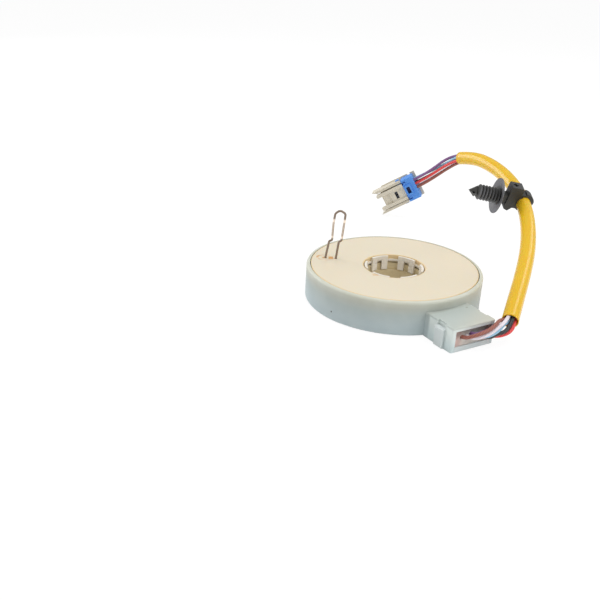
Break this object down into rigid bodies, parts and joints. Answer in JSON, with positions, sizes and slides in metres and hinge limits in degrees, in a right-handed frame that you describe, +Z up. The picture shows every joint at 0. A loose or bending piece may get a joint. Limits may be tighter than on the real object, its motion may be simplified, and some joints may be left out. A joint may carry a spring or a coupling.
{
  "type": "steering torque sensor",
  "caption": "Round hollow torque sensor for a steering column, with a lift-out lock pin, a side block for the wires, a sleeved harness, a fir-tree tie and a connector.",
  "frame": {"origin": "on the shaft axis, at the lower mouth of the output rotor's bore, which is level with the housing's underside", "axes": "+Z up the shaft axis towards the cream disc, +X out through the cable block, +Y to the side the harness leaves"},
  "size_m": [0.1673, 0.1365, 0.045],
  "materials": {
    "housing_plastic": "smooth translucent moulding",
    "clear_resin": "glossy clear resin",
    "inner_plastic": "plain moulding",
    "tinned_strip": "tinned strip",
    "ribbon": "flat cable",
    "brown_jacket": "wire covering",
    "white_jacket": "wire covering",
    "violet_jacket": "wire covering",
    "blue_jacket": "wire covering",
    "black_jacket": "wire covering",
    "red_jacket": "wire covering",
    "yellow_tube": "soft smooth tube",
    "dark_nylon": "nylon moulding",
    "connector_plastic": "connector moulding",
    "lock_plastic": "connector lock moulding",
    "rotor_plastic": "plain moulding",
    "board": "circuit board with tracks",
    "disc_plastic": "smooth moulding",
    "grip_plastic": "smooth moulding",
    "spring_metal": "spring strip",
    "pin_steel": "dark drawn wire"
  },
  "bodies": {
    "housing": {"housing_shell": "housing_plastic", "block_cover": "housing_plastic", "potting": "clear_resin", "terminal_comb": "inner_plastic", "block_terminals": "tinned_strip", "ribbon_cable": "ribbon", "wire_brown": "brown_jacket", "wire_white": "white_jacket", "wire_violet": "violet_jacket", "wire_blue": "blue_jacket", "wire_black": "black_jacket", "wire_red": "red_jacket", "yellow_sleeve": "yellow_tube", "fir_tree_tie": "dark_nylon", "connector_housing": "connector_plastic", "connector_terminals": "tinned_strip"},
    "terminal_lock": {"terminal_lock": "lock_plastic"},
    "output_rotor": {"output_rotor": "rotor_plastic", "track_board": "board"},
    "input_rotor": {"input_rotor": "disc_plastic", "shaft_grip_ring": "grip_plastic", "wiper_carrier": "rotor_plastic", "wiper_springs": "spring_metal"},
    "lock_pin": {"lock_pin": "pin_steel"}
  },
  "joints": [
    {"name": "output_rotor_turn", "type": "hinge", "parent": "housing", "child": "output_rotor", "pos_m": [0, 0, 0], "axis": [0, 0, 1], "range_deg": [-540, 540]},
    {"name": "shaft_twist", "type": "hinge", "parent": "output_rotor", "child": "input_rotor", "pos_m": [0, 0, 0.012], "axis": [0, 0, 1], "range_deg": [-5, 5]},
    {"name": "lock_pin_pull", "type": "slide", "parent": "input_rotor", "child": "lock_pin", "axis": [0, 0, 1], "range_m": [0, 0.02]},
    {"name": "terminal_lock_slide", "type": "slide", "parent": "housing", "child": "terminal_lock", "axis": [0.546, 0.653, 0.525], "range_m": [0, 0.0015]}
  ]
}
